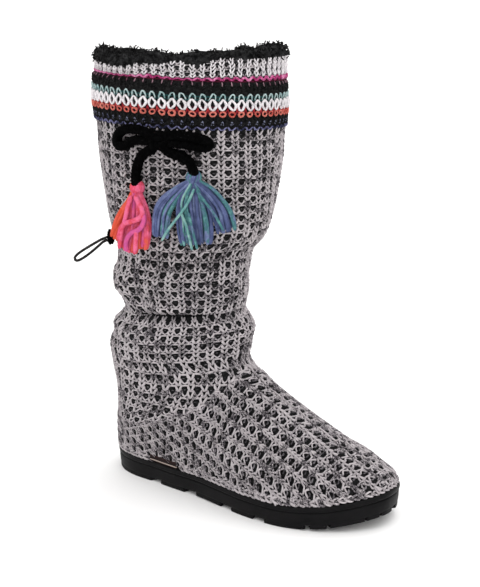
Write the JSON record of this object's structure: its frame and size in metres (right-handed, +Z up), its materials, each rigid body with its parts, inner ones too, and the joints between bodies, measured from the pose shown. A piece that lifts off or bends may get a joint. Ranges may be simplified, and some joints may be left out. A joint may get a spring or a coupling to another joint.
{
  "type": "slipper boot",
  "caption": "Tall slouchy knitted slipper boot with a striped band, fleece collar, side cord bow with two yarn tassels, and a flat lugged rubber outsole.",
  "frame": {"origin": "on the floor, under the flat block in the middle of the heel", "axes": "+Z up the shaft, +X towards the toe, +Y towards the inner (medial) side of this right shoe"},
  "size_m": [0.2818, 0.1417, 0.3638],
  "materials": {
    "rubber": "satin black moulded rubber",
    "knit": "pale marled yarn knitted over a black ground",
    "fleece": "black curly pile",
    "cord": "black crocheted cord",
    "pink_yarn": "pink, magenta and coral yarn",
    "blue_yarn": "slate blue and mint yarn",
    "woven_tab": "woven tape, blank"
  },
  "bodies": {
    "root": {"outsole": "rubber", "insole": "fleece", "upper": "knit", "collar_fleece": "fleece", "bow_knot": "cord", "bow_loop_back": "cord", "bow_loop_front": "cord", "bow_end_back": "cord", "bow_end_front": "cord", "tassel_back": "pink_yarn", "tassel_front": "blue_yarn", "back_loop": "cord", "loop_tab": "cord", "side_tab": "woven_tab"}
  },
  "joints": []
}
